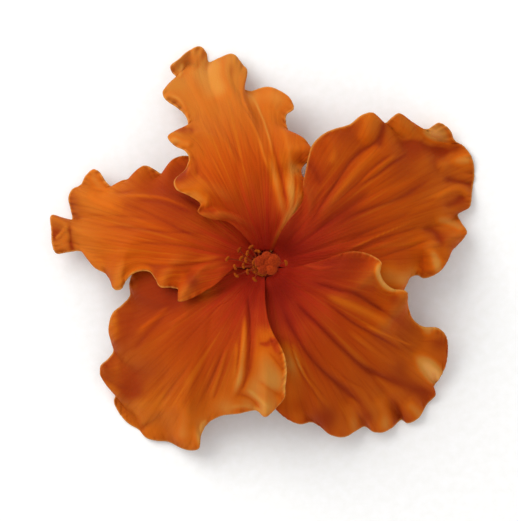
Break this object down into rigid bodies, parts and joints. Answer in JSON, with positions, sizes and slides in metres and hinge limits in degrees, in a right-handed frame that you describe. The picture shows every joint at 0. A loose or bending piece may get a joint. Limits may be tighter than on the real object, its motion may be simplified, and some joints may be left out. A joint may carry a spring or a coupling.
{
  "type": "hibiscus flower",
  "caption": "Ruffled orange hibiscus blossom, picked and resting face up on its drooping petals, with its central column, stigma, green calyx and short cut pedicel.",
  "frame": {"origin": "on the surface, under the middle of the bloom's outline seen from above", "axes": "+Z up along the bloom's axis, out of the throat; +Y towards the narrow top petal; +X to the right seen from above with +Y up"},
  "size_m": [0.1502, 0.1422, 0.0701],
  "materials": {
    "petal": "soft velvety petal, deep red throat to orange limb with pale ruffled margins",
    "column": "red-orange staminal tube with ochre anthers",
    "pistil": "red style and velvety stigma pads",
    "calyx": "green, finely downy",
    "epicalyx": "green, finely downy",
    "pedicel": "green cut stalk"
  },
  "bodies": {
    "root": {"petal_top": "petal", "petal_left": "petal", "petal_lower_left": "petal", "petal_lower_right": "petal", "petal_right": "petal", "staminal_column": "column", "pistil": "pistil", "calyx": "calyx", "epicalyx": "epicalyx", "pedicel": "pedicel"}
  },
  "joints": []
}
